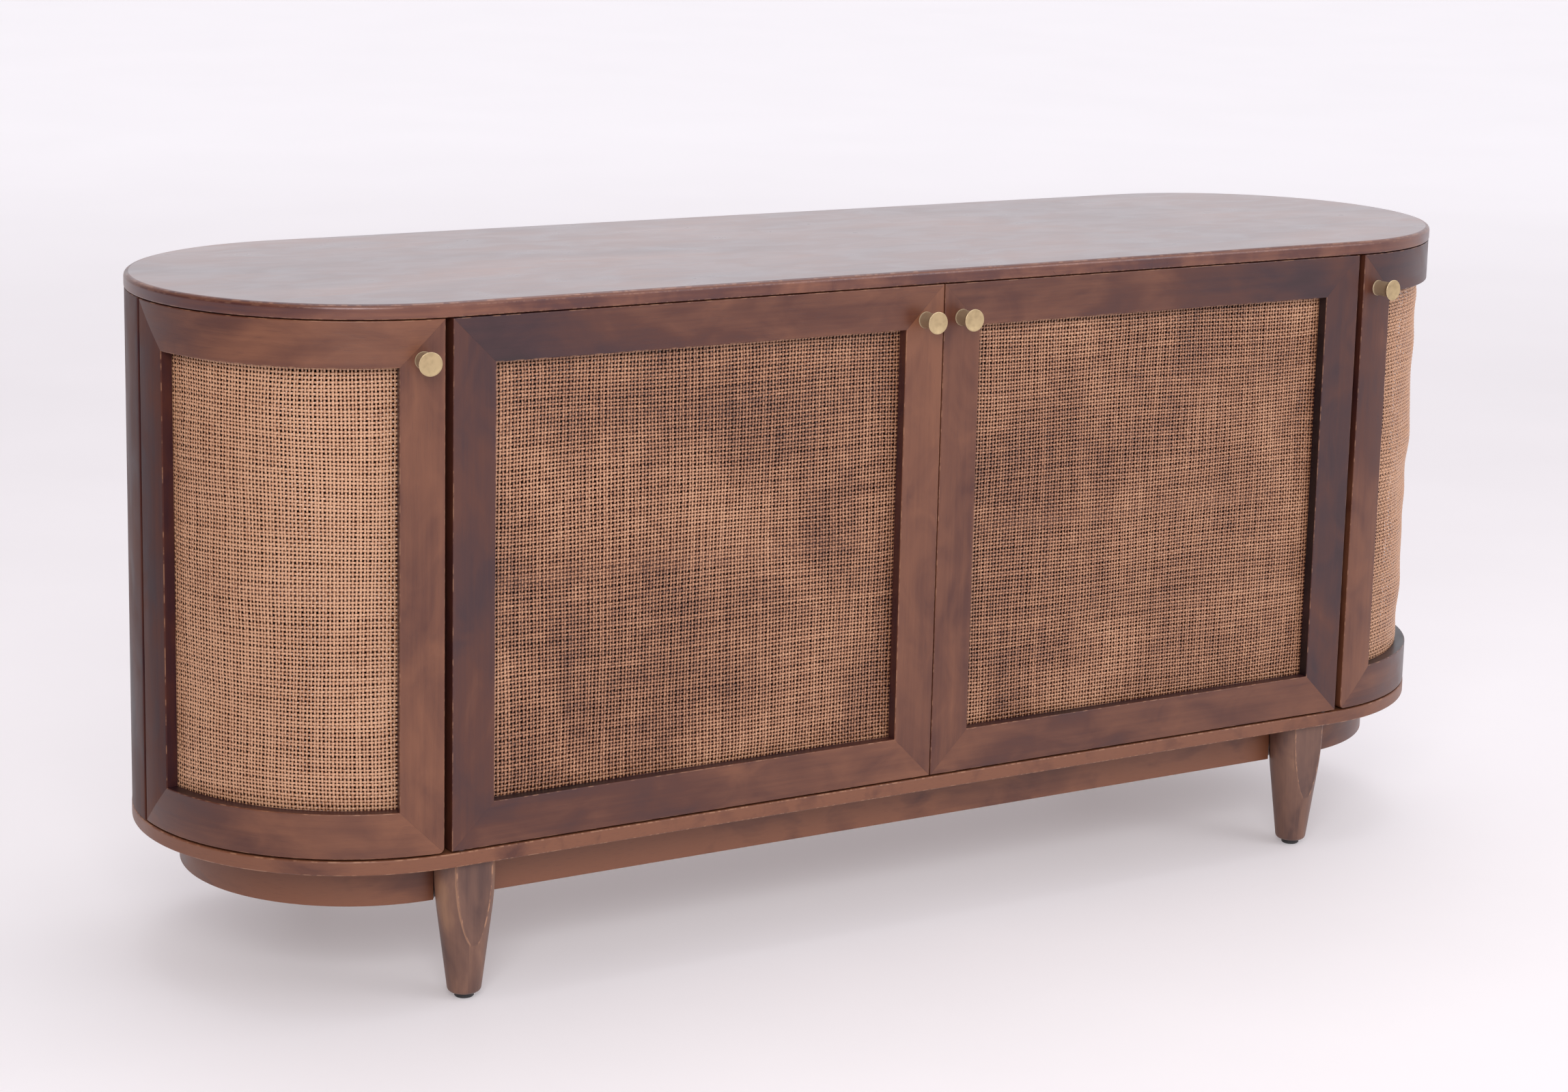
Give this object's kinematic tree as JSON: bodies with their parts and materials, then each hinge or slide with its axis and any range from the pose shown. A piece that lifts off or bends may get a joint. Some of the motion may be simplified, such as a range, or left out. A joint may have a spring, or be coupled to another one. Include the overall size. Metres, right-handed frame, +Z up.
{
  "type": "sideboard buffet",
  "caption": "Oval sideboard with half-round ends, woven cane doors in mitred frames, brass knobs, recessed plinth and tapered legs.",
  "frame": {"origin": "bottom centre of the whole object, knobs included, on the floor", "axes": "+X along the length, to the right of someone facing the doors; +Y from the doors to the back; +Z up"},
  "size_m": [1.75, 0.5386, 0.786],
  "materials": {
    "stained_wood": "satin lacquer over a dark red-brown stain, cloudy",
    "leg_wood": "worn satin lacquer",
    "inner_wood": "plain satin",
    "cane": "woven cane, matt",
    "aged_brass": "aged, satin",
    "steel": "plain",
    "black_plastic": "moulded"
  },
  "bodies": {
    "cabinet": {"top": "stained_wood", "bottom_board": "stained_wood", "left_partition": "inner_wood", "right_partition": "inner_wood", "back_panel": "inner_wood", "left_side_panel": "stained_wood", "right_side_panel": "stained_wood", "left_shelf": "inner_wood", "centre_shelf": "inner_wood", "right_shelf": "inner_wood", "front_plinth_rail": "stained_wood", "left_plinth_curve": "stained_wood", "right_plinth_curve": "stained_wood", "front_left_leg": "leg_wood", "front_right_leg": "leg_wood", "back_left_leg": "leg_wood", "back_right_leg": "leg_wood", "front_left_glide": "black_plastic", "front_right_glide": "black_plastic", "back_left_glide": "black_plastic", "back_right_glide": "black_plastic", "centre_catch": "black_plastic", "left_end_catch": "black_plastic", "right_end_catch": "black_plastic"},
    "left_end_door": {"left_end_free_stile": "stained_wood", "left_end_hinge_stile": "stained_wood", "left_end_top_rail": "stained_wood", "left_end_bottom_rail": "stained_wood", "left_end_cane": "cane", "left_end_bead_frame": "stained_wood", "left_end_knob": "aged_brass", "left_end_top_pin": "steel", "left_end_bottom_pin": "steel"},
    "centre_left_door": {"centre_left_free_stile": "stained_wood", "centre_left_hinge_stile": "stained_wood", "centre_left_top_rail": "stained_wood", "centre_left_bottom_rail": "stained_wood", "centre_left_cane": "cane", "centre_left_bead_frame": "stained_wood", "centre_left_knob": "aged_brass", "centre_left_top_pin": "steel", "centre_left_bottom_pin": "steel"},
    "centre_right_door": {"centre_right_free_stile": "stained_wood", "centre_right_hinge_stile": "stained_wood", "centre_right_top_rail": "stained_wood", "centre_right_bottom_rail": "stained_wood", "centre_right_cane": "cane", "centre_right_bead_frame": "stained_wood", "centre_right_knob": "aged_brass", "centre_right_top_pin": "steel", "centre_right_bottom_pin": "steel"},
    "right_end_door": {"right_end_free_stile": "stained_wood", "right_end_hinge_stile": "stained_wood", "right_end_top_rail": "stained_wood", "right_end_bottom_rail": "stained_wood", "right_end_cane": "cane", "right_end_bead_frame": "stained_wood", "right_end_knob": "aged_brass", "right_end_top_pin": "steel", "right_end_bottom_pin": "steel"}
  },
  "joints": [
    {"name": "left_end_door_hinge", "type": "hinge", "parent": "cabinet", "child": "left_end_door", "pos_m": [-0.86299, -0.00303, 0.475], "axis": [0, 0, -1], "range_deg": [0, 110]},
    {"name": "centre_left_door_hinge", "type": "hinge", "parent": "cabinet", "child": "centre_left_door", "pos_m": [-0.6065, -0.23225, 0.475], "axis": [0, 0, -1], "range_deg": [0, 105]},
    {"name": "centre_right_door_hinge", "type": "hinge", "parent": "cabinet", "child": "centre_right_door", "pos_m": [0.6065, -0.23225, 0.475], "axis": [0, 0, 1], "range_deg": [0, 105]},
    {"name": "right_end_door_hinge", "type": "hinge", "parent": "cabinet", "child": "right_end_door", "pos_m": [0.86299, -0.00303, 0.475], "axis": [0, 0, 1], "range_deg": [0, 110]}
  ]
}
